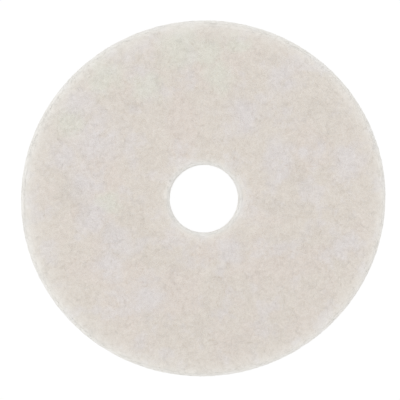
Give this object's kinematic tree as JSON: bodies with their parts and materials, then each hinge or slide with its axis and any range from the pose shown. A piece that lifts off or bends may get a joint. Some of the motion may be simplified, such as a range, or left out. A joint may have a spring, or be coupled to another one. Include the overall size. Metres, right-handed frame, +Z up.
{
  "type": "floor polishing pad",
  "caption": "Round, thick, soft pad of bonded fibre with a hole through its middle, for a rotary floor machine.",
  "frame": {"origin": "middle of the pad's underside, on the axis of the hole", "axes": "+Z up through the thickness, along the hole; +X along the outline's long axis"},
  "size_m": [0.437, 0.426, 0.025],
  "materials": {
    "fibre_web": null
  },
  "bodies": {
    "root": {"polishing_pad": "fibre_web"}
  },
  "joints": []
}
